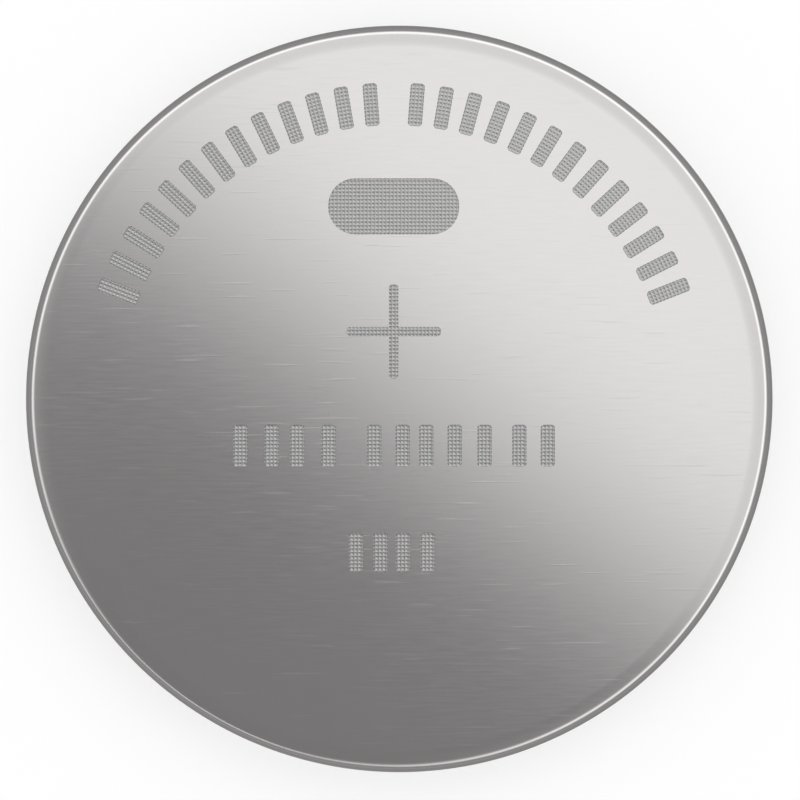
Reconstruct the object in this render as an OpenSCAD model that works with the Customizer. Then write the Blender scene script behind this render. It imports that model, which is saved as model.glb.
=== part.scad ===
// Round lithium coin cell: a crimped steel case with its gasket and the cell stack inside.
// Origin: centre of the minus contact, which the cell lies on. +Z leaves the plus face.
// Bends are given by the inner radius of the sheet, so that they hold at any sheet thickness.

/* [Cell] */
// Diameter over the can's wall
cell_d = 20; // [16:0.1:24]
// Height from the minus contact to the plus face
cell_h = 1.6; // [1.5:0.05:3.2]
// Clearance between pieces that are pressed together
seat_gap = 0.01; // [0.005:0.005:0.02]

/* [Positive can] */
// Thickness of the can's sheet
can_t = 0.25; // [0.2:0.01:0.3]
// Inner radius of the drawn corner round the plus face
can_corner_r = 0.05; // [0.03:0.01:0.2]
// Width of the eased band between the flat face and that corner
ease_w = 0.3; // [0.2:0.05:0.6]
// Slope of the eased band where it meets the corner, in degrees
ease_a = 7.5; // [4:0.5:12]
// Inner radius of the rim that is crimped over the gasket
curl_r = 0.3; // [0.25:0.01:0.4]
// Angle that the crimped rim is bent through
curl_a = 75; // [65:1:80]
// Straight lip past that bend
lip_len = 0.15; // [0.1:0.01:0.25]

/* [Negative cap] */
// Thickness of the cap's sheet
cap_t = 0.2; // [0.15:0.01:0.25]
// How far the minus contact stands proud of the crimped rim
contact_proud = 0.1; // [0.05:0.01:0.15]
// Inner radius of the bend round the contact
contact_bend_r = 0.15; // [0.1:0.01:0.25]
// Slope of the shoulder between contact and flange, in degrees
shoulder_a = 50; // [40:1:60]
// Inner radius of the hollow bend between shoulder and flange
hollow_bend_r = 0.15; // [0.1:0.01:0.2]
// Bare flange between that bend and the gasket
land_w = 0.2; // [0.1:0.05:0.4]
// Inner radius of the bend from flange to skirt
skirt_bend_r = 0.08; // [0.05:0.01:0.15]

/* [Gasket] */
// Thickness of the gasket's outer wall
gasket_t = 0.2; // [0.15:0.01:0.3]
// Thickness of the gasket under the lip's edge
seal_t = 0.19; // [0.12:0.01:0.25]
// How far the gasket's edge starts past the lip
seal_reach = 0.04; // [0.03:0.01:0.2]
// Thickness of the foot under the cap's skirt
foot_t = 0.21; // [0.15:0.01:0.28]
// Thickness of the upstand inside the skirt
upstand_t = 0.22; // [0.15:0.01:0.35]
// Free height between the upstand and the cap's flange
upstand_clear = 0.13; // [0.05:0.01:0.2]

/* [Cell stack] */
// Thickness of the lithium disc
lithium_t = 0.32; // [0.2:0.01:0.45]
// How far the lithium stays inside the cathode's edge
lithium_inset = 0.15; // [0.1:0.05:0.6]
// Thickness of the separator
separator_t = 0.1; // [0.05:0.01:0.15]
// How far the separator's rim stands up round the cathode
separator_rim_h = 0.4; // [0.2:0.05:0.5]
// Free room between the separator's rim and the edge of the contact
stack_clear = 0.25; // [0.1:0.05:0.6]
// Thickness of the collector mesh
mesh_t = 0.08; // [0.05:0.01:0.12]
// How far the mesh stays inside the cathode's edge
mesh_inset = 0.6; // [0.4:0.05:1.2]
// Distance between neighbouring openings of the mesh in one row
mesh_pitch_x = 1.7; // [1.4:0.1:2.5]
// Distance between those rows
mesh_pitch_y = 0.8; // [0.6:0.05:1.2]
// Width of the mesh's strands
mesh_strand = 0.25; // [0.15:0.01:0.35]

/* [Hidden] */
round_fn = 96;
bend_steps = 8;

cell_r = cell_d / 2;

// Can: the eased band is an arc that meets the corner's arc at ease_a
ease_r = ease_w / sin(ease_a);
can_corner_out_r = can_corner_r + can_t;
face_r = cell_r - ease_w - can_corner_out_r * (1 - sin(ease_a));
ease_c = [face_r, cell_h - ease_r];
corner_c = [
    cell_r - can_corner_out_r,
    ease_c.y + (ease_r - can_corner_out_r) * cos(ease_a)
];
can_floor_z = cell_h - can_t;

// Crimped rim: curl_dir points from the curl's centre to where the straight lip starts
curl_dir = [cos(curl_a), -sin(curl_a)];
lip_run = lip_len * [-sin(curl_a), -cos(curl_a)];
curl_c = [
    cell_r - can_t - curl_r,
    contact_proud + (curl_r + can_t) * sin(curl_a) + lip_len * cos(curl_a)
];
lip_edge = curl_c + curl_r * curl_dir + lip_run;

// Gasket and cap, from the can's wall inwards
gasket_r = cell_r - can_t - seat_gap;
skirt_r = gasket_r - gasket_t - seat_gap;
upstand_r = skirt_r - cap_t - seat_gap;
upstand_inner_r = upstand_r - upstand_t;
foot_z = can_floor_z - seat_gap - foot_t;
flange_z = lip_edge.y + seal_t + 2 * seat_gap;
upstand_z = flange_z + cap_t + upstand_clear;
skirt_bend_out_r = skirt_bend_r + cap_t;
skirt_bend_c = [skirt_r - skirt_bend_out_r, flange_z + skirt_bend_out_r];

// The gasket's edge is a round nose that fills the wedge between the lip and the flange
seal_z = flange_z - seat_gap;
under_lip = curl_c + (curl_r - seat_gap) * curl_dir;
nose_x = min(lip_edge.x, skirt_bend_c.x) - seal_reach;
nose_r = ((seal_z - under_lip.y) * sin(curl_a) + (under_lip.x - nose_x) * cos(curl_a))
    / (1 + sin(curl_a));
nose_c = [nose_x, seal_z - nose_r];

// Shoulder, from the bare flange down to the contact
contact_bend_out_r = contact_bend_r + cap_t;
hollow_c = [nose_x - nose_r - land_w, flange_z - hollow_bend_r];
shoulder_bends = contact_bend_out_r + hollow_bend_r;
shoulder_rise = flange_z - shoulder_bends * (1 - cos(shoulder_a));
contact_r = hollow_c.x - shoulder_bends * sin(shoulder_a) - shoulder_rise / tan(shoulder_a);
contact_bend_c = [contact_r, contact_bend_out_r];

// Stack, from the cap's inside up to the can's floor
separator_z = cap_t + lithium_t;
cathode_z = separator_z + separator_t;
mesh_z = can_floor_z - mesh_t;
separator_r = contact_r - stack_clear;
cathode_r = separator_r - separator_t - seat_gap;
lithium_r = cathode_r - lithium_inset;
mesh_r = cathode_r - mesh_inset;

// Half diagonals of one diamond of the mesh, measured to the middle of its strands
mesh_cell = [mesh_pitch_x / 2, mesh_pitch_y];

// Points of an arc about a centre, from angle a0 to angle a1
function arc(centre, r, a0, a1, steps = bend_steps) = [
    for (i = [0:steps])
        let (a = a0 + (a1 - a0) * i / steps)
        centre + r * [cos(a), sin(a)]
];

// The can's outline at a depth below its outer surface, from its face to where its lip starts
function can_outline(depth) = concat(
    arc(ease_c, ease_r - depth, 90, 90 - ease_a),
    arc(corner_c, can_corner_out_r - depth, 90 - ease_a, 0),
    arc(curl_c, curl_r + can_t - depth, 0, -curl_a)
);

function reversed(points) = [for (i = [len(points) - 1:-1:0]) points[i]];

// Section of the can: outside from the centre to the lip's edge, then inside back again
can_section = concat(
    [[0, cell_h]],
    can_outline(0),
    [lip_edge + can_t * curl_dir, lip_edge],
    reversed(can_outline(can_t)),
    [[0, can_floor_z]]
);

// Section of the cap: outside from the centre to the skirt's end, then inside back again
cap_section = concat(
    [[0, 0]],
    arc(contact_bend_c, contact_bend_out_r, -90, shoulder_a - 90),
    arc(hollow_c, hollow_bend_r, 90 + shoulder_a, 90),
    arc(skirt_bend_c, skirt_bend_out_r, -90, 0),
    [[skirt_r, foot_z - seat_gap], [skirt_r - cap_t, foot_z - seat_gap]],
    arc(skirt_bend_c, skirt_bend_r, 0, -90),
    arc(hollow_c, hollow_bend_r + cap_t, 90, 90 + shoulder_a),
    arc(contact_bend_c, contact_bend_r, shoulder_a - 90, -90),
    [[0, cap_t]]
);

// Section of the gasket: outside against the can, nose, groove for the skirt, upstand
gasket_section = concat(
    [[upstand_inner_r, can_floor_z - seat_gap]],
    can_outline(can_t + seat_gap),
    arc(nose_c, nose_r, -curl_a, -270, 2 * bend_steps),
    arc(skirt_bend_c, skirt_bend_out_r + seat_gap, -90, 0),
    [
        [skirt_r + seat_gap, foot_z],
        [upstand_r, foot_z],
        [upstand_r, upstand_z],
        [upstand_inner_r, upstand_z]
    ]
);

module ring_of(section) {
    rotate_extrude($fn = round_fn) polygon(section);
}

module disc(r, z0, z1) {
    translate([0, 0, z0]) cylinder(r = r, h = z1 - z0, $fn = round_fn);
}

// Diamonds in staggered rows, as high as the mesh's openings, with their edges moved in
module mesh_diamonds(z0, z1, move_in) {
    corner = mesh_cell * (1 - move_in * norm(mesh_cell) / (mesh_cell.x * mesh_cell.y));
    columns = ceil(mesh_r / mesh_pitch_x);
    rows = ceil(mesh_r / mesh_pitch_y);
    for (i = [-columns:columns], j = [-rows:rows]) {
        centre = [(i + abs(j % 2) / 2) * mesh_pitch_x, j * mesh_pitch_y];
        if (norm(centre) < mesh_r - mesh_pitch_x / 2)
            translate([centre.x, centre.y, z0])
                linear_extrude(z1 - z0)
                    polygon([[corner.x, 0], [0, corner.y], [-corner.x, 0], [0, -corner.y]]);
    }
}

// Outer case on the plus side: a drawn cup whose rim is crimped over the gasket
module positive_can() {
    color([0.7, 0.7, 0.7]) ring_of(can_section);
}

// Outer case on the minus side: a pressed cap whose skirt stands in the gasket
module negative_cap() {
    color([0.75, 0.74, 0.72]) ring_of(cap_section);
}

// Moulded ring that keeps the two cases apart and seals them
module sealing_gasket() {
    color([0.16, 0.17, 0.18]) ring_of(gasket_section);
}

// Pressed manganese dioxide, which fills the mesh and meets the can through it
module cathode_pellet() {
    color([0.13, 0.12, 0.12])
        difference() {
            disc(cathode_r, cathode_z, can_floor_z);
            difference() {
                disc(mesh_r + seat_gap, mesh_z, cell_h);
                mesh_diamonds(cathode_z, cell_h, mesh_strand / 2 + seat_gap);
            }
        }
}

// Expanded steel mesh, welded to the can's floor
module collector_mesh() {
    color([0.6, 0.6, 0.58])
        difference() {
            disc(mesh_r, mesh_z, can_floor_z);
            mesh_diamonds(cathode_z, cell_h, mesh_strand / 2);
        }
}

// Nonwoven sheet between the electrodes, its rim turned up round the cathode
module separator() {
    color([0.93, 0.93, 0.9])
        difference() {
            disc(separator_r, separator_z, cathode_z + separator_rim_h);
            disc(cathode_r + seat_gap, cathode_z, cell_h);
        }
}

// Lithium foil, pressed on the inside of the cap
module lithium_disc() {
    color([0.78, 0.8, 0.82]) disc(lithium_r, cap_t, separator_z);
}

positive_can();
negative_cap();
sealing_gasket();
cathode_pellet();
collector_mesh();
separator();
lithium_disc();
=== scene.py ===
# Lithium coin cell, dressed for its picture: turned steel case, knurled stamped marks,
# gasket, and the cell stack inside.
from math import ceil, cos, radians, sin, tan

import bmesh
import bpy
from mathutils import Matrix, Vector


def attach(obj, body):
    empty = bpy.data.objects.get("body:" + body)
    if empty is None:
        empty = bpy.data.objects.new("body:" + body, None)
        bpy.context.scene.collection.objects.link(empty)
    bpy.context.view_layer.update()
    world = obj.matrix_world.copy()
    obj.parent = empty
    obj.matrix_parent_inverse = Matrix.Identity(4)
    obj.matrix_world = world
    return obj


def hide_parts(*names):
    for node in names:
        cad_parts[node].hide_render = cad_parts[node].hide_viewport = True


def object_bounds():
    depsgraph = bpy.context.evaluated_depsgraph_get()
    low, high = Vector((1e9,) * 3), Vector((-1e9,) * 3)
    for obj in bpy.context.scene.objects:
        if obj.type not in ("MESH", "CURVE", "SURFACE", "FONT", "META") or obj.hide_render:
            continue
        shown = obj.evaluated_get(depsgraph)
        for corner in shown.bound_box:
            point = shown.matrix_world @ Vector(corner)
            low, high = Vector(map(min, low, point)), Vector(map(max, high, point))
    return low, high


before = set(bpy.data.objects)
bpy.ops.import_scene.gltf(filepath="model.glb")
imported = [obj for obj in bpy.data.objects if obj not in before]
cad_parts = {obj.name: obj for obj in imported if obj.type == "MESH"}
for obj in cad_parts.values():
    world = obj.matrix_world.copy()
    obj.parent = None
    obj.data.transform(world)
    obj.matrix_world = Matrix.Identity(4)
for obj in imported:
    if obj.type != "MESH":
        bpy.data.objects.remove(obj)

CAD_BOX = [list(corner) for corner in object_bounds()]
MM = 0.001

# Sizes of the cell, in millimetres. Bends are inner radii of the sheet.
RADIUS = CAD_BOX[1][0] / MM
HEIGHT = CAD_BOX[1][2] / MM
SEAT_GAP = 0.01

CAN_T = 0.25
CAN_CORNER_R = 0.05
EASE_W = 0.3
EASE_A = 7.5
CURL_R = 0.3
CURL_A = 75
LIP_LEN = 0.15

CAP_T = 0.2
CONTACT_PROUD = 0.1
CONTACT_BEND_R = 0.15
SHOULDER_A = 50
HOLLOW_BEND_R = 0.15
LAND_W = 0.2
SKIRT_BEND_R = 0.08

GASKET_T = 0.2
SEAL_T = 0.19
SEAL_REACH = 0.04
FOOT_T = 0.21
UPSTAND_T = 0.22
UPSTAND_CLEAR = 0.13

# Steps of a full turn, angle of one step in a bend, and width of the flat face's outermost ring
TURN_STEPS = 288
BEND_STEP_A = 7.5
FACE_RING_W = 0.02
SHARP_A = 30

# Stamped marks, in millimetres, with their places given from the marks' own centre
MARKS_X = -0.15
KNURL_PITCH = 0.1
KNURL_RIDGE = 0.007
KNURL_PIT = 0.0273
MARK_DEPTH = 0.022
MARK_CORNER_R = 0.09
MARK_CORNER_STEPS = 8
BAR_W = 0.38
ARC_R = 7.89
ARC_BAR_H = 1.14
ARC_GAP_A = 8.8
ARC_PITCH_A = 5.35
ARC_BARS_A_SIDE = 13
PLUS_Y = 1.8
PLUS_W = 2.52
PLUS_STROKE = 0.25
PLATE_Y = 5.15
PLATE_SIZE = (3.5, 1.5)
PLATE_CORNER_R = 0.72
ROW_Y = -1.25
ROW_BAR_H = 1.12
ROW_BARS_X = (-4.1, -3.26, -2.58, -1.74, -0.52, 0.24, 0.87, 1.63, 2.43, 3.36, 4.12)
LOW_ROW_Y = -4.1
LOW_ROW_BAR_H = 1.05
LOW_ROW_BARS_X = (-1.01, -0.35, 0.25, 0.91)

CAN_COLOUR = (0.788, 0.763, 0.762)
CAN_ROUGHNESS = 0.18

# Camera, in millimetres: it looks straight down, and the width is what it takes in at the rim
CAMERA_H = 200
PICTURE_W = 21.43
CAMERA_OFFSET = (0.019, -0.029)

# White floor, in metres, with a hole under the cell, and the share of light that it lets through
FLOOR_Z = -0.00002
FLOOR_R = 3.0
FLOOR_HOLE_R = 0.009
FLOOR_GLOW = 0.65
CARD_STEPS = 96

# Grey dish round the cell, in metres: a glowing card seen only in the steel's gloss, which paints the
# dark reflection in the rim. Its wall turns white between two angles seen from the rim
DISH_HOLE_R = 0.0103
DISH_R = 0.05
DISH_GREY = 0.28
DISH_DARK_A = 28
DISH_LIGHT_A = 43
# Lighter glowing band at the wall's foot, painted into the reflection: heights where it is full, where it
# starts to fade, and its top
DISH_BAND = 0.1
DISH_BAND_Z = (0.003, 0.004, 0.009)

# Hood over the cell, in metres: a glowing card seen only in the steel's gloss, which paints the light and
# shade reflected in the face. It is dark past an edge across it, and lightest at its rim
HOOD_H = 0.042
HOOD_R = 0.057
HOOD_AZIMUTH = 53
HOOD_GREY = 0.213
HOOD_EDGE = 0.0005
HOOD_SOFT = 0.0052
HOOD_SIDE = -0.003
HOOD_SIDE_W = (0.008, 0.054)
HOOD_DIP = 0.22
HOOD_DIP_R = (0.0135, 0.0175)
HOOD_RISE = 0.55
HOOD_RISE_R = (0.028, 0.040)

# Soft lamp at the upper right, in metres, over the white world
LAMP_SIZE = 0.5
LAMP_DISTANCE = 0.6
LAMP_AZIMUTH = 70
LAMP_ELEVATION = 50
LAMP_POWER = 0.35


def at(centre, radius, angle):
    """Point on a circle in the section's plane, as (x, z)."""
    return (centre[0] + radius * cos(radians(angle)), centre[1] + radius * sin(radians(angle)))


# Section of the rim, worked out as the cell is drawn: can, then cap, then gasket
CAN_CORNER_OUT_R = CAN_CORNER_R + CAN_T
EASE_R = EASE_W / sin(radians(EASE_A))
FACE_R = RADIUS - EASE_W - CAN_CORNER_OUT_R * (1 - sin(radians(EASE_A)))
EASE_C = (FACE_R, HEIGHT - EASE_R)
CORNER_C = (
    RADIUS - CAN_CORNER_OUT_R,
    EASE_C[1] + (EASE_R - CAN_CORNER_OUT_R) * cos(radians(EASE_A)),
)
CAN_FLOOR_Z = HEIGHT - CAN_T
CURL_C = (
    RADIUS - CAN_T - CURL_R,
    CONTACT_PROUD + (CURL_R + CAN_T) * sin(radians(CURL_A)) + LIP_LEN * cos(radians(CURL_A)),
)


def along_lip(point):
    """The point moved along the straight lip, from where the curl ends to the lip's edge."""
    return at(point, LIP_LEN, -CURL_A - 90)


LIP_EDGE = along_lip(at(CURL_C, CURL_R, -CURL_A))
SKIRT_R = RADIUS - CAN_T - GASKET_T - 2 * SEAT_GAP
UPSTAND_R = SKIRT_R - CAP_T - SEAT_GAP
FOOT_Z = CAN_FLOOR_Z - SEAT_GAP - FOOT_T
FLANGE_Z = LIP_EDGE[1] + SEAL_T + 2 * SEAT_GAP
UPSTAND_Z = FLANGE_Z + CAP_T + UPSTAND_CLEAR
SKIRT_BEND_OUT_R = SKIRT_BEND_R + CAP_T
SKIRT_BEND_C = (SKIRT_R - SKIRT_BEND_OUT_R, FLANGE_Z + SKIRT_BEND_OUT_R)
SEAL_Z = FLANGE_Z - SEAT_GAP
UNDER_LIP = at(CURL_C, CURL_R - SEAT_GAP, -CURL_A)
NOSE_X = min(LIP_EDGE[0], SKIRT_BEND_C[0]) - SEAL_REACH
NOSE_R = (
    (SEAL_Z - UNDER_LIP[1]) * sin(radians(CURL_A)) + (UNDER_LIP[0] - NOSE_X) * cos(radians(CURL_A))
) / (1 + sin(radians(CURL_A)))
NOSE_C = (NOSE_X, SEAL_Z - NOSE_R)
CONTACT_BEND_OUT_R = CONTACT_BEND_R + CAP_T
HOLLOW_C = (NOSE_X - NOSE_R - LAND_W, FLANGE_Z - HOLLOW_BEND_R)
SHOULDER_BENDS = CONTACT_BEND_OUT_R + HOLLOW_BEND_R
SHOULDER_RISE = FLANGE_Z - SHOULDER_BENDS * (1 - cos(radians(SHOULDER_A)))
CONTACT_R = (
    HOLLOW_C[0] - SHOULDER_BENDS * sin(radians(SHOULDER_A)) - SHOULDER_RISE / tan(radians(SHOULDER_A))
)
CONTACT_BEND_C = (CONTACT_R, CONTACT_BEND_OUT_R)


class Outline:
    """A wire in the section's plane, drawn on from its last point."""

    def __init__(self, x, z):
        self.bm = bmesh.new()
        self.first = self.end = self.bm.verts.new((x, 0, z))

    def to(self, x, z):
        """Runs straight on to a point."""
        self.end = bmesh.ops.extrude_vert_indiv(self.bm, verts=[self.end])["verts"][0]
        self.end.co = (x, 0, z)
        return self

    def bend(self, centre, angle):
        """Bends round a centre, clockwise where the angle is positive."""
        spun = bmesh.ops.spin(
            self.bm,
            geom=[self.end],
            cent=(centre[0], 0, centre[1]),
            axis=(0, 1, 0),
            angle=radians(angle),
            steps=ceil(abs(angle) / BEND_STEP_A),
        )
        self.end = [v for v in spun["geom_last"] if isinstance(v, bmesh.types.BMVert)][0]
        return self

    def closed(self):
        """Joins the last point to the first."""
        self.bm.edges.new((self.end, self.first))
        return self

    def can_side(self, depth):
        """The can's outline at a depth below its outside, from its face to its straight lip."""
        return (
            self.to(EASE_C[0], HEIGHT - depth)
            .bend(EASE_C, EASE_A)
            .bend(CORNER_C, 90 - EASE_A)
            .to(RADIUS - depth, CURL_C[1])
            .bend(CURL_C, CURL_A)
        )


def smooth(piece):
    """Shades the piece smooth, with every sharp edge kept."""
    piece.data.shade_smooth()
    piece.data.set_sharp_from_angle(angle=radians(SHARP_A))


def new_object(bm, name):
    """Makes the mesh an object of the scene."""
    mesh = bpy.data.meshes.new(name)
    bm.to_mesh(mesh)
    bm.free()
    made = bpy.data.objects.new(name, mesh)
    bpy.context.scene.collection.objects.link(made)
    return made


def finish_mesh(bm, name):
    """Closes the mesh, turns its faces out, and makes it a smooth object in metres."""
    bmesh.ops.remove_doubles(bm, verts=bm.verts[:], dist=1e-5)
    bmesh.ops.recalc_face_normals(bm, faces=bm.faces[:])
    bmesh.ops.scale(bm, vec=(MM, MM, MM), verts=bm.verts[:])
    piece = new_object(bm, name)
    smooth(piece)
    return piece


def turned(outline, name):
    """Turns the outline a full turn about the cell's axis."""
    bmesh.ops.spin(
        outline.bm,
        geom=outline.bm.verts[:] + outline.bm.edges[:],
        cent=(0, 0, 0),
        axis=(0, 0, 1),
        angle=radians(360),
        steps=TURN_STEPS,
        use_merge=True,
    )
    return finish_mesh(outline.bm, name)


def can_blank():
    """The can before its marks are stamped."""
    outline = Outline(0, HEIGHT).to(FACE_R - FACE_RING_W, HEIGHT).can_side(0)
    outline.to(*along_lip(at(CURL_C, CURL_R + CAN_T, -CURL_A))).to(*LIP_EDGE)
    outline.to(*at(CURL_C, CURL_R, -CURL_A)).bend(CURL_C, -CURL_A)
    outline.to(RADIUS - CAN_T, CORNER_C[1]).bend(CORNER_C, EASE_A - 90).bend(EASE_C, -EASE_A)
    return turned(outline.to(0, CAN_FLOOR_Z), "can")


def cap():
    """The pressed cap: contact, shoulder, flange and skirt."""
    outline = Outline(0, 0).to(CONTACT_R, 0).bend(CONTACT_BEND_C, -SHOULDER_A)
    outline.to(*at(HOLLOW_C, HOLLOW_BEND_R, 90 + SHOULDER_A)).bend(HOLLOW_C, SHOULDER_A)
    outline.to(SKIRT_BEND_C[0], FLANGE_Z).bend(SKIRT_BEND_C, -90)
    outline.to(SKIRT_R, FOOT_Z - SEAT_GAP).to(SKIRT_R - CAP_T, FOOT_Z - SEAT_GAP)
    outline.to(SKIRT_R - CAP_T, SKIRT_BEND_C[1]).bend(SKIRT_BEND_C, 90)
    outline.to(HOLLOW_C[0], FLANGE_Z + CAP_T).bend(HOLLOW_C, -SHOULDER_A)
    outline.to(*at(CONTACT_BEND_C, CONTACT_BEND_R, SHOULDER_A - 90)).bend(CONTACT_BEND_C, SHOULDER_A)
    return turned(outline.to(0, CAP_T), "cap")


def gasket():
    """The gasket as the crimp leaves it, round the cap's flange and skirt."""
    outline = Outline(UPSTAND_R - UPSTAND_T, CAN_FLOOR_Z - SEAT_GAP).can_side(CAN_T + SEAT_GAP)
    outline.to(*at(NOSE_C, NOSE_R, -CURL_A)).bend(NOSE_C, 270 - CURL_A)
    outline.to(SKIRT_BEND_C[0], SEAL_Z).bend(SKIRT_BEND_C, -90)
    outline.to(SKIRT_R + SEAT_GAP, FOOT_Z).to(UPSTAND_R, FOOT_Z).to(UPSTAND_R, UPSTAND_Z)
    return turned(outline.to(UPSTAND_R - UPSTAND_T, UPSTAND_Z).closed(), "gasket")


def knurl_block(width, height):
    """A block whose underside is a grid of small pyramids with flat strips between them."""
    bm = bmesh.new()
    columns = ceil(width / KNURL_PITCH) + 1
    rows = ceil(height / KNURL_PITCH) + 1
    bmesh.ops.create_grid(bm, x_segments=columns, y_segments=rows, size=0.5)
    bmesh.ops.scale(bm, vec=(columns * KNURL_PITCH, rows * KNURL_PITCH, 1), verts=bm.verts[:])
    bmesh.ops.reverse_faces(bm, faces=bm.faces[:])
    cells = bm.faces[:]
    rim = [e for e in bm.edges if e.is_boundary]
    wall = bmesh.ops.extrude_edge_only(bm, edges=rim)["geom"]
    top = [v for v in wall if isinstance(v, bmesh.types.BMVert)]
    bmesh.ops.translate(bm, vec=(0, 0, 2 * MARK_DEPTH), verts=top)
    bmesh.ops.contextual_create(bm, geom=[e for e in bm.edges if e.is_boundary])
    bmesh.ops.inset_individual(bm, faces=cells, thickness=KNURL_RIDGE / 2)
    bmesh.ops.poke(bm, faces=cells, offset=KNURL_PIT)
    bmesh.ops.translate(bm, vec=(0, 0, HEIGHT - MARK_DEPTH), verts=bm.verts[:])
    return finish_mesh(bm, "knurl")


def raised(bm):
    """Makes the flat outline a punch, from under the knurl to over the face."""
    side = bmesh.ops.extrude_face_region(bm, geom=bm.faces[:])["geom"]
    top = [v for v in side if isinstance(v, bmesh.types.BMVert)]
    bottom_z = HEIGHT - MARK_DEPTH - 2 * KNURL_PIT
    bmesh.ops.translate(bm, vec=(0, 0, HEIGHT + MARK_DEPTH - bottom_z), verts=top)
    bmesh.ops.translate(bm, vec=(0, 0, bottom_z), verts=bm.verts[:])
    return finish_mesh(bm, "punch")


def round_corners(bm, corners, radius):
    """Rounds the corners of a flat outline."""
    bmesh.ops.bevel(
        bm,
        geom=corners,
        offset=radius,
        segments=MARK_CORNER_STEPS,
        profile=0.5,
        affect="VERTICES",
        material=-1,
    )


def bar_punch(width, height, corner_r):
    """A punch for a bar with round corners."""
    bm = bmesh.new()
    bmesh.ops.create_grid(bm, x_segments=1, y_segments=1, size=0.5)
    bmesh.ops.scale(bm, vec=(width, height, 1), verts=bm.verts[:])
    round_corners(bm, bm.verts[:], corner_r)
    return raised(bm)


def plus_punch():
    """A punch for the plus sign: a square with an arm drawn out of each side."""
    bm = bmesh.new()
    bmesh.ops.create_grid(bm, x_segments=1, y_segments=1, size=PLUS_STROKE / 2)
    ends = []
    for edge in bm.edges[:]:
        middle = (edge.verts[0].co + edge.verts[1].co) / 2
        arm = bmesh.ops.extrude_edge_only(bm, edges=[edge])["geom"]
        end = [v for v in arm if isinstance(v, bmesh.types.BMVert)]
        bmesh.ops.translate(bm, vec=middle.normalized() * (PLUS_W - PLUS_STROKE) / 2, verts=end)
        ends += end
    round_corners(bm, ends, MARK_CORNER_R)
    return raised(bm)


def apply_boolean(piece, tool, operation):
    """Cuts or intersects the piece with the tool, which is used up."""
    boolean = piece.modifiers.new("boolean", "BOOLEAN")
    boolean.operation = operation
    boolean.solver = "MANIFOLD"
    boolean.object = tool
    boolean.material_mode = "TRANSFER"
    shaped = piece.evaluated_get(bpy.context.evaluated_depsgraph_get())
    mesh = bpy.data.meshes.new_from_object(shaped)
    piece.modifiers.remove(boolean)
    old = piece.data
    piece.data = mesh
    bpy.data.meshes.remove(old)
    bpy.data.meshes.remove(tool.data)
    return piece


def knurled(punch, width, height):
    """The punch with the knurl cut in its underside."""
    return apply_boolean(punch, knurl_block(width, height), "INTERSECT")


def stamp(stamps, punch, places):
    """Adds copies of the punch to the stamps. A place is (x, y, angle), in millimetres."""
    for x, y, angle in places:
        copy = punch.data.copy()
        turn = Matrix.Rotation(radians(angle), 4, "Z")
        copy.transform(Matrix.Translation((x * MM, y * MM, 0)) @ turn)
        stamps.from_mesh(copy)
        bpy.data.meshes.remove(copy)
    bpy.data.meshes.remove(punch.data)


def arc_places():
    """Bars along an arc over the plus sign, in two groups with a gap between them."""
    for side in (-1, 1):
        for i in range(ARC_BARS_A_SIDE):
            angle = side * (ARC_GAP_A / 2 + i * ARC_PITCH_A)
            yield ARC_R * sin(radians(angle)) + MARKS_X, ARC_R * cos(radians(angle)), -angle


def row_places(places_x, y):
    """Upright marks side by side."""
    return [(x + MARKS_X, y, 0) for x in places_x]


def knurled_bar(height):
    return knurled(bar_punch(BAR_W, height, MARK_CORNER_R), BAR_W, height)


def all_stamps():
    """Every punch of the plus face, in one object."""
    bm = bmesh.new()
    stamp(bm, knurled_bar(ARC_BAR_H), arc_places())
    stamp(bm, knurled_bar(ROW_BAR_H), row_places(ROW_BARS_X, ROW_Y))
    stamp(bm, knurled_bar(LOW_ROW_BAR_H), row_places(LOW_ROW_BARS_X, LOW_ROW_Y))
    plate = knurled(bar_punch(*PLATE_SIZE, PLATE_CORNER_R), *PLATE_SIZE)
    stamp(bm, plate, row_places([0], PLATE_Y))
    stamp(bm, knurled(plus_punch(), PLUS_W, PLUS_W), row_places([0], PLUS_Y))
    return new_object(bm, "stamps")


def new_material(name, colour, metallic, roughness):
    """A material with its shader's plain values set, and its nodes to add to."""
    material = bpy.data.materials.new(name)
    material.use_nodes = True
    shader = material.node_tree.nodes["Principled BSDF"]
    shader.inputs["Base Color"].default_value = (*colour, 1)
    shader.inputs["Metallic"].default_value = metallic
    shader.inputs["Roughness"].default_value = roughness
    return material, shader


def add_node(material, kind, **values):
    """Adds a node. A value is set on the input of that name, or on the node itself."""
    node = material.node_tree.nodes.new(kind)
    for name, value in values.items():
        socket = name.replace("_", " ")
        if socket in node.inputs:
            node.inputs[socket].default_value = value
        else:
            setattr(node, name.lower(), value)
    return node


def math_node(material, operation, *values):
    """The result of a sum on sockets or plain numbers."""
    node = add_node(material, "ShaderNodeMath", operation=operation)
    for socket, value in zip(node.inputs, values):
        if isinstance(value, bpy.types.NodeSocket):
            material.node_tree.links.new(value, socket)
        else:
            socket.default_value = value
    return node.outputs[0]


def fade(material, value, low, high, start=0.0, stop=1.0):
    """Goes smoothly from start to stop as the value goes from low to high."""
    spread = add_node(
        material,
        "ShaderNodeMapRange",
        interpolation_type="SMOOTHSTEP",
        From_Min=low,
        From_Max=high,
        To_Min=start,
        To_Max=stop,
    )
    material.node_tree.links.new(value, spread.inputs["Value"])
    return spread.outputs["Result"]


def object_place(material):
    """The X, Y and Z of each point in its object."""
    place = add_node(material, "ShaderNodeTexCoord")
    parts = add_node(material, "ShaderNodeSeparateXYZ")
    material.node_tree.links.new(place.outputs["Object"], parts.inputs[0])
    return parts.outputs


def from_axis(material, place):
    """How far each point is from its object's upright axis."""
    squares = [math_node(material, "POWER", place[axis], 2) for axis in ("X", "Y")]
    return math_node(material, "SQRT", math_node(material, "ADD", *squares))


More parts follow.
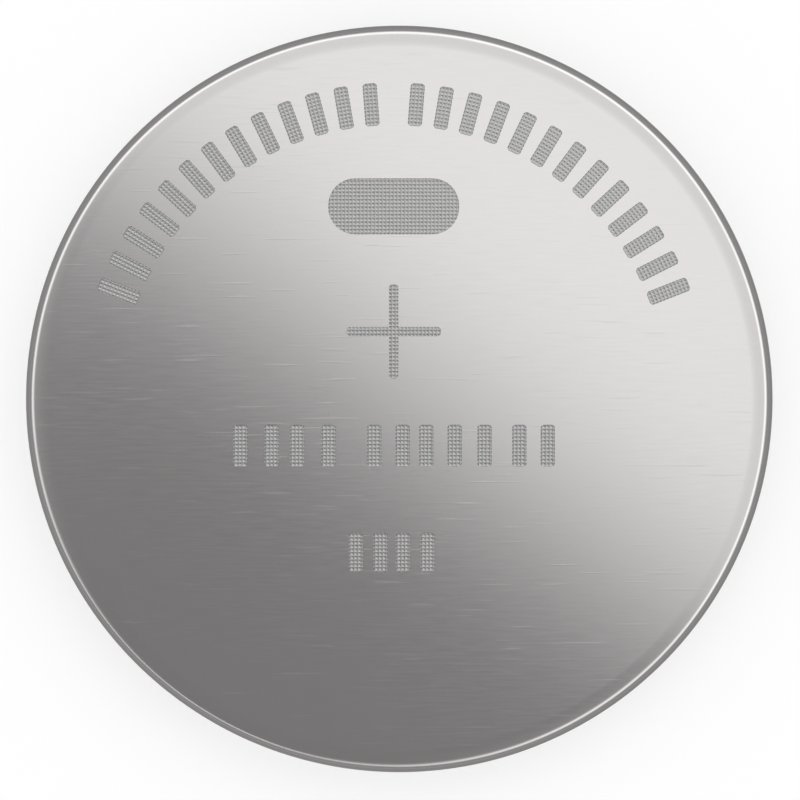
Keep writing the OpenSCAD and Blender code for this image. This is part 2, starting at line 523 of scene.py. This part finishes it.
def noise(material, scale, detail=2.0):
    """Noise on Object coordinates. The scale is in turns for each millimetre along X, Y and Z."""
    link = material.node_tree.links.new
    place = add_node(material, "ShaderNodeTexCoord")
    stretch = add_node(material, "ShaderNodeMapping", Scale=[s / MM for s in scale])
    texture = add_node(material, "ShaderNodeTexNoise", Scale=1.0, Detail=detail)
    link(place.outputs["Object"], stretch.inputs["Vector"])
    link(stretch.outputs["Vector"], texture.inputs["Vector"])
    return texture.outputs["Fac"]


def round_lines(material, along, across, detail):
    """Noise drawn out round the cell's axis. The scales are in turns for each millimetre."""
    link = material.node_tree.links.new
    place = object_place(material)
    out = math_node(material, "MULTIPLY", from_axis(material, place), across / MM)
    spread = add_node(material, "ShaderNodeCombineXYZ")
    link(math_node(material, "MULTIPLY_ADD", place["X"], along / MM, out), spread.inputs["X"])
    link(math_node(material, "MULTIPLY", place["Y"], along / MM), spread.inputs["Y"])
    link(math_node(material, "MULTIPLY", place["Z"], across / MM), spread.inputs["Z"])
    texture = add_node(material, "ShaderNodeTexNoise", Scale=1.0, Detail=detail)
    link(spread.outputs[0], texture.inputs["Vector"])
    return texture.outputs["Fac"]


def between(material, fac, low, high):
    """The noise spread from low to high."""
    spread = add_node(material, "ShaderNodeMapRange", From_Min=0.3, From_Max=0.7, To_Min=low, To_Max=high)
    material.node_tree.links.new(fac, spread.inputs["Value"])
    return spread.outputs["Result"]


def rough(material, shader, fac, low, high):
    """Makes the surface rougher and smoother by the noise."""
    material.node_tree.links.new(between(material, fac, low, high), shader.inputs["Roughness"])


def paint(material, shader, fac, dark, light):
    """Colours the surface from dark to light by the noise."""
    link = material.node_tree.links.new
    mix = add_node(material, "ShaderNodeMix", data_type="RGBA")
    colours = [s for s in mix.inputs if s.type == "RGBA"]
    colours[0].default_value = (*dark, 1)
    colours[1].default_value = (*light, 1)
    link(between(material, fac, 0, 1), mix.inputs[0])
    link([s for s in mix.outputs if s.type == "RGBA"][0], shader.inputs["Base Color"])


def bump(material, shader, height, depth, under=None):
    """Bumps the surface by that depth in millimetres, over another bump if one is given."""
    link = material.node_tree.links.new
    node = add_node(material, "ShaderNodeBump", Strength=1.0, Distance=depth * MM)
    link(height, node.inputs["Height"])
    if under:
        link(under, node.inputs["Normal"])
    link(node.outputs["Normal"], shader.inputs["Normal"])
    return node.outputs["Normal"]


def can_steel():
    """Bright plated steel with a very fine grain along X, and a few short scratches in it."""
    material, shader = new_material("can_steel", CAN_COLOUR, 1.0, CAN_ROUGHNESS)
    grain = noise(material, (1.2, 18, 1.2), 3)
    scratches = fade(material, noise(material, (0.8, 16, 0.8), 0), 0.7, 0.86)
    dull = math_node(material, "MULTIPLY_ADD", scratches, 0.06, between(material, grain, 0.16, 0.2))
    material.node_tree.links.new(dull, shader.inputs["Roughness"])
    grooves = bump(material, shader, scratches, 0.00035)
    bump(material, shader, grain, 0.00012, grooves)
    return material


def can_side_steel():
    """The same steel, drawn and crimped, with faint lines round the can."""
    material, shader = new_material("can_side_steel", CAN_COLOUR, 1.0, CAN_ROUGHNESS)
    lines = round_lines(material, 0.25, 24, 3)
    rough(material, shader, lines, 0.16, 0.22)
    bump(material, shader, lines, 0.0002)
    return material


def stamped_steel_painted_shade():
    """The dull floor of the stamped marks. Its colour is darker than the can's as painted shade in the
    recesses, and its roughness is the stamped finish.
    """
    material, shader = new_material("stamped_steel_painted_shade", (0.53, 0.525, 0.523), 1.0, 0.38)
    rough(material, shader, noise(material, (9, 9, 9)), 0.34, 0.42)
    return material


def cap_steel():
    """Satin plated steel with a grain along Y."""
    material, shader = new_material("cap_steel", (0.75, 0.735, 0.715), 1.0, 0.3)
    grain = noise(material, (16, 0.8, 0.8), 3)
    rough(material, shader, grain, 0.26, 0.34)
    bump(material, shader, grain, 0.00015)
    return material


def gasket_plastic():
    """Dark moulded plastic."""
    material, shader = new_material("gasket_plastic", (0.045, 0.047, 0.05), 0.0, 0.45)
    grain = noise(material, (8, 8, 8))
    rough(material, shader, grain, 0.38, 0.55)
    bump(material, shader, grain, 0.001)
    return material


def cathode_powder():
    """Black pressed powder."""
    material, shader = new_material("cathode_powder", (0.02, 0.02, 0.02), 0.0, 0.8)
    grain = noise(material, (22, 22, 22), 4)
    paint(material, shader, grain, (0.012, 0.012, 0.013), (0.05, 0.048, 0.046))
    bump(material, shader, grain, 0.008)
    return material


def mesh_steel():
    """Bare steel of the expanded mesh."""
    material, shader = new_material("mesh_steel", (0.5, 0.5, 0.48), 1.0, 0.35)
    rough(material, shader, noise(material, (6, 6, 6)), 0.28, 0.5)
    return material


def separator_sheet():
    """White nonwoven sheet with its fibres along X."""
    material, shader = new_material("separator_sheet", (0.85, 0.85, 0.8), 0.0, 0.9)
    fibres = noise(material, (3, 24, 8), 4)
    paint(material, shader, fibres, (0.72, 0.72, 0.67), (0.9, 0.9, 0.87))
    bump(material, shader, fibres, 0.006)
    return material


def lithium_foil():
    """Dull soft foil with patches."""
    material, shader = new_material("lithium_foil", (0.55, 0.57, 0.6), 1.0, 0.5)
    patches = noise(material, (1.5, 1.5, 1.5), 4)
    paint(material, shader, patches, (0.42, 0.44, 0.47), (0.62, 0.64, 0.67))
    rough(material, shader, noise(material, (1, 12, 1)), 0.4, 0.6)
    return material


def stand_for(piece, node):
    """Puts the piece on the cell's body, in place of its node."""
    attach(piece, "root")
    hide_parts(node)


def dress(piece, material, node):
    """Gives the piece its material, its body and the node it stands for."""
    piece.data.materials.append(material)
    stand_for(piece, node)


def stamped_can():
    """The can with its marks, in grained steel on the face and drawn steel round the side."""
    can = can_blank()
    stamps = all_stamps()
    can.data.materials.append(can_steel())
    can.data.materials.append(can_side_steel())
    for face in can.data.polygons:
        face.material_index = int(face.center.xy.length > CORNER_C[0] * MM)
    # The marks' floors take the stamps' material, darkened as painted shade in the recesses.
    stamps.data.materials.append(stamped_steel_painted_shade())
    apply_boolean(can, stamps, "DIFFERENCE")
    smooth(can)
    stand_for(can, "positive_can")


def dress_stack():
    """Gives the pieces inside the case their materials."""
    finishes = {
        "cathode_pellet": cathode_powder,
        "collector_mesh": mesh_steel,
        "separator": separator_sheet,
        "lithium_disc": lithium_foil,
    }
    for node, finish in finishes.items():
        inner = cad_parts[node]
        inner.data.materials.clear()
        inner.data.materials.append(finish())


def widened(bm, edges, times):
    """Draws a ring of edges out flat to so many times its size. Returns the new ring's edges."""
    new = bmesh.ops.extrude_edge_only(bm, edges=edges)["geom"]
    rim = [v for v in new if isinstance(v, bmesh.types.BMVert)]
    bmesh.ops.scale(bm, vec=(times, times, 1), verts=rim)
    return [e for e in new if isinstance(e, bmesh.types.BMEdge) and e.is_boundary]


def floor_paper():
    """White paper that lets light through, and is clear when seen from below."""
    material, shader = new_material("floor_paper", (0.95, 0.95, 0.95), 0.0, 0.9)
    shader.inputs["Specular IOR Level"].default_value = 0.0
    link = material.node_tree.links.new
    lit_from_below = add_node(material, "ShaderNodeBsdfTranslucent", Color=(1, 1, 1, 1))
    paper = add_node(material, "ShaderNodeMixShader", Fac=FLOOR_GLOW)
    link(shader.outputs[0], paper.inputs[1])
    link(lit_from_below.outputs[0], paper.inputs[2])
    side = add_node(material, "ShaderNodeNewGeometry")
    clear = add_node(material, "ShaderNodeBsdfTransparent")
    seen = add_node(material, "ShaderNodeMixShader")
    link(side.outputs["Backfacing"], seen.inputs[0])
    link(paper.outputs[0], seen.inputs[1])
    link(clear.outputs[0], seen.inputs[2])
    link(seen.outputs[0], material.node_tree.nodes["Material Output"].inputs["Surface"])
    return material


def floor():
    """A light table, open under the cell."""
    bm = bmesh.new()
    bmesh.ops.create_circle(bm, segments=CARD_STEPS, radius=FLOOR_HOLE_R)
    widened(bm, bm.edges[:], FLOOR_R / FLOOR_HOLE_R)
    bmesh.ops.translate(bm, vec=(0, 0, FLOOR_Z), verts=bm.verts[:])
    bmesh.ops.recalc_face_normals(bm, faces=bm.faces[:])
    if bm.faces[:][0].normal.z < 0:
        bmesh.ops.reverse_faces(bm, faces=bm.faces[:])
    plane = new_object(bm, "floor")
    plane.data.materials.append(floor_paper())


def card_material(name):
    """A card that glows by its place. Returns the material, and its X, Y and Z sockets."""
    material = bpy.data.materials.new(name)
    material.use_nodes = True
    material.cycles.emission_sampling = "NONE"
    material.node_tree.nodes.remove(material.node_tree.nodes["Principled BSDF"])
    return material, object_place(material)


def glow(material, strength):
    """Lights the card by the strength."""
    link = material.node_tree.links.new
    light = add_node(material, "ShaderNodeEmission")
    link(strength, light.inputs["Strength"])
    link(light.outputs[0], material.node_tree.nodes["Material Output"].inputs["Surface"])


def only_in_reflections(card):
    """The card shows in the steel's gloss, and to nothing else."""
    card.visible_camera = False
    card.visible_diffuse = False
    card.visible_transmission = False
    card.visible_volume_scatter = False
    card.visible_shadow = False


def grey_dish():
    """A grey glowing card round the cell, lying on the floor and standing at the horizon, which lights
    nothing and paints the reflection in the steel.
    """
    from_rim = DISH_R - RADIUS * MM
    dark_z = from_rim * tan(radians(DISH_DARK_A))
    light_z = from_rim * tan(radians(DISH_LIGHT_A))
    bm = bmesh.new()
    bmesh.ops.create_circle(bm, segments=CARD_STEPS, radius=DISH_HOLE_R)
    rim = widened(bm, bm.edges[:], DISH_R / DISH_HOLE_R)
    wall = bmesh.ops.extrude_edge_only(bm, edges=rim)["geom"]
    top = [v for v in wall if isinstance(v, bmesh.types.BMVert)]
    bmesh.ops.translate(bm, vec=(0, 0, light_z), verts=top)
    material, place = card_material("dish_grey")
    full, thin, gone = DISH_BAND_Z
    band = math_node(
        material,
        "MULTIPLY",
        fade(material, place["Z"], 0.0, full, 0.0, DISH_BAND),
        fade(material, place["Z"], thin, gone, 1.0, 0.0),
    )
    wall_light = fade(material, place["Z"], dark_z, light_z, DISH_GREY, 1.0)
    glow(material, math_node(material, "ADD", band, wall_light))
    card = new_object(bm, "grey_dish")
    card.data.materials.append(material)
    only_in_reflections(card)


def hood_glow():
    """Glow of the hood, painted light and shade for the steel to reflect: dark past the edge along X, but
    for the sides. A ring of it is greyer, and its rim lightest.
    """
    material, place = card_material("hood_glow")
    out = from_axis(material, place)
    dip = fade(material, out, *HOOD_DIP_R, 1.0, 1.0 - HOOD_DIP)
    light = math_node(material, "ADD", dip, fade(material, out, *HOOD_RISE_R, 0.0, HOOD_RISE))
    off_side = math_node(material, "ABSOLUTE", math_node(material, "SUBTRACT", place["Y"], HOOD_SIDE))
    sides = fade(material, off_side, *HOOD_SIDE_W, 1.0, 0.0)
    past_edge = fade(material, place["X"], HOOD_EDGE - HOOD_SOFT, HOOD_EDGE + HOOD_SOFT, 1.0, 0.0)
    dark = math_node(material, "MULTIPLY", past_edge, sides)
    level = math_node(material, "MULTIPLY", light, math_node(material, "SUBTRACT", 1.0, dark))
    glow(material, math_node(material, "MULTIPLY_ADD", dark, HOOD_GREY, level))
    return material


def hood(name, height, paper):
    """A round glowing card that faces the cell from over or under it, and paints the reflection in the
    steel.
    """
    bm = bmesh.new()
    bmesh.ops.create_circle(bm, segments=CARD_STEPS, radius=HOOD_R, cap_ends=True)
    bmesh.ops.translate(bm, vec=(0, 0, height), verts=bm.verts[:])
    card = new_object(bm, name)
    card.rotation_euler.z = radians(HOOD_AZIMUTH)
    # The card's material is the glow that paints its reflection in the steel.
    card.data.materials.append(paper)
    only_in_reflections(card)


def hoods():
    """One hood over the cell, and one under it for views from below."""
    paper = hood_glow()
    hood("upper_hood", HOOD_H, paper)
    hood("lower_hood", -HOOD_H, paper)


def white_world():
    """White light from all round."""
    world = bpy.data.worlds.new("studio")
    bpy.context.scene.world = world
    world.use_nodes = True
    world.node_tree.nodes["Background"].inputs["Color"].default_value = (1, 1, 1, 1)
    world.node_tree.nodes["Background"].inputs["Strength"].default_value = 1.0
    world.cycles.sampling_method = "NONE"


def soft_lamp():
    """A large lamp at the upper right, which faces the cell."""
    lamp = bpy.data.lights.new("soft_lamp", "AREA")
    lamp.size = LAMP_SIZE
    lamp.energy = LAMP_POWER
    stand = bpy.data.objects.new("soft_lamp", lamp)
    bpy.context.scene.collection.objects.link(stand)
    tilt = Matrix.Rotation(radians(90 - LAMP_ELEVATION), 4, "Y")
    turn = Matrix.Rotation(radians(LAMP_AZIMUTH), 4, "Z")
    stand.matrix_world = turn @ tilt @ Matrix.Translation((0, 0, LAMP_DISTANCE))


def camera():
    """A camera that looks straight down at the plus face."""
    data = bpy.data.cameras.new("camera")
    data.sensor_width = 36
    data.lens = data.sensor_width * CAMERA_H / PICTURE_W
    data.clip_start = 0.01
    eye = bpy.data.objects.new("camera", data)
    bpy.context.scene.collection.objects.link(eye)
    eye.location = [MM * c for c in (*CAMERA_OFFSET, CORNER_C[1] + CAMERA_H)]
    bpy.context.scene.camera = eye


camera()
stamped_can()
dress(cap(), cap_steel(), "negative_cap")
dress(gasket(), gasket_plastic(), "sealing_gasket")
dress_stack()

floor()
grey_dish()
hoods()
white_world()
soft_lamp()
bpy.context.scene.view_settings.view_transform = "Standard"
